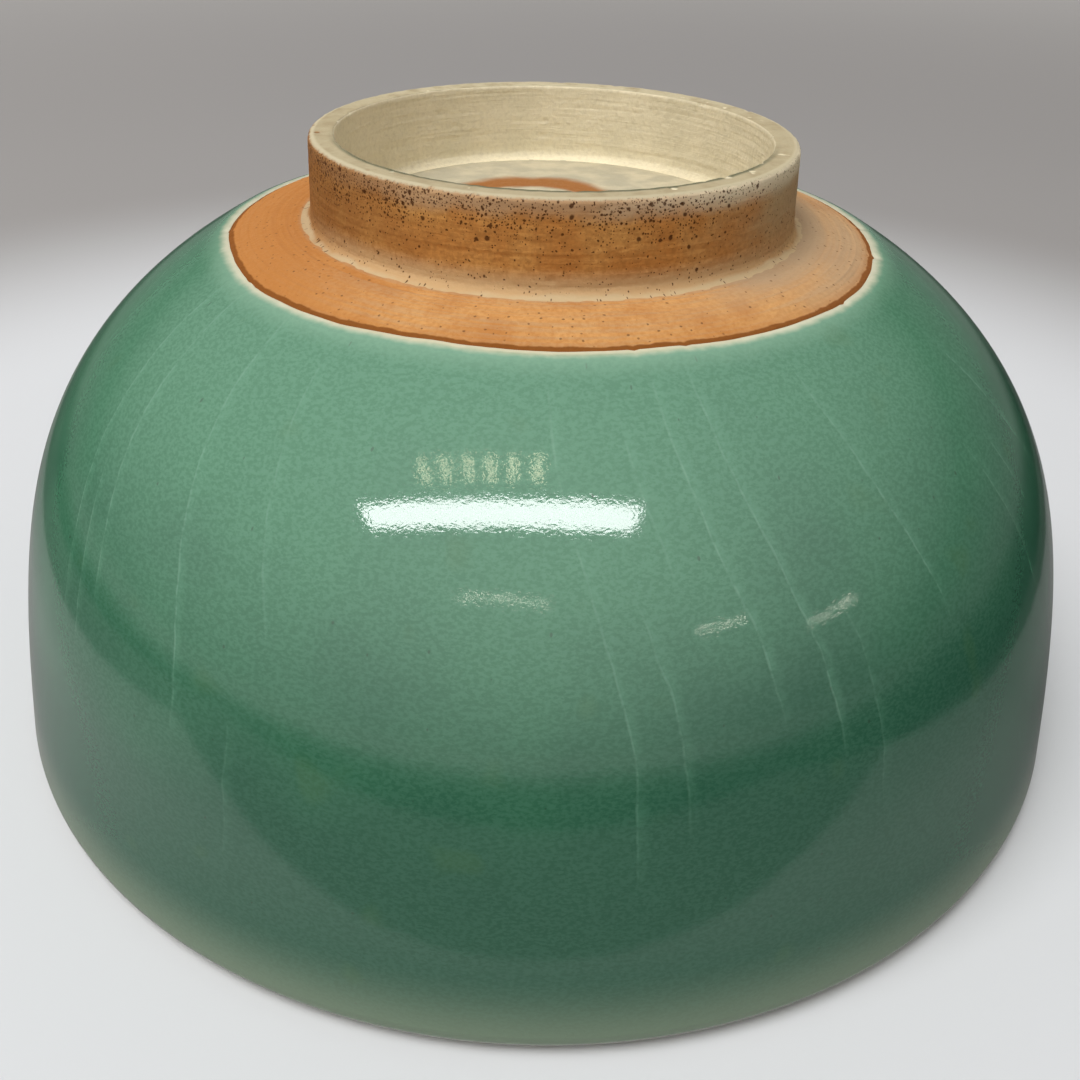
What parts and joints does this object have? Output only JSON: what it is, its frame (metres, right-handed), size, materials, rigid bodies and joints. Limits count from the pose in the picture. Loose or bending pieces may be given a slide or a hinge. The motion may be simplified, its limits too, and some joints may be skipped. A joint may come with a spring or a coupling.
{
  "type": "matcha bowl",
  "caption": "Round tea bowl of flashed stoneware with a turned foot ring, bare clay shoulder and glossy celadon glaze inside and out, standing upside down on its lip.",
  "frame": {"origin": "centre of the rim on the bowl's axis, in the plane that the lip stands on when the bowl is upside down", "axes": "+Z along the bowl's axis from the rim to the foot, so the foot ring points up; the bowl is round, so X and Y are free. To drink from it, turn it 180 degrees about X."},
  "size_m": [0.13, 0.13, 0.0655],
  "materials": {
    "flashed_stoneware": "unglazed fired clay, orange with concentric turning lines, matt",
    "speckled_foot_clay": "unglazed fired clay with iron specks, cream along its edges, matt",
    "celadon_outside": "glossy celadon green with long fine crackle lines",
    "celadon_inside": "glossy celadon green, pooled darker at the bottom",
    "celadon_lip": "thin glossy glaze, pale buff where it breaks over the edge",
    "pale_glaze_spot": "thin pale glaze, slightly glossy, with an orange flashed edge"
  },
  "bodies": {
    "root": {"clay_body": "flashed_stoneware", "foot_ring": "speckled_foot_clay", "outer_glaze": "celadon_outside", "inner_glaze": "celadon_inside", "lip_glaze": "celadon_lip", "well_glaze": "pale_glaze_spot"}
  },
  "joints": []
}
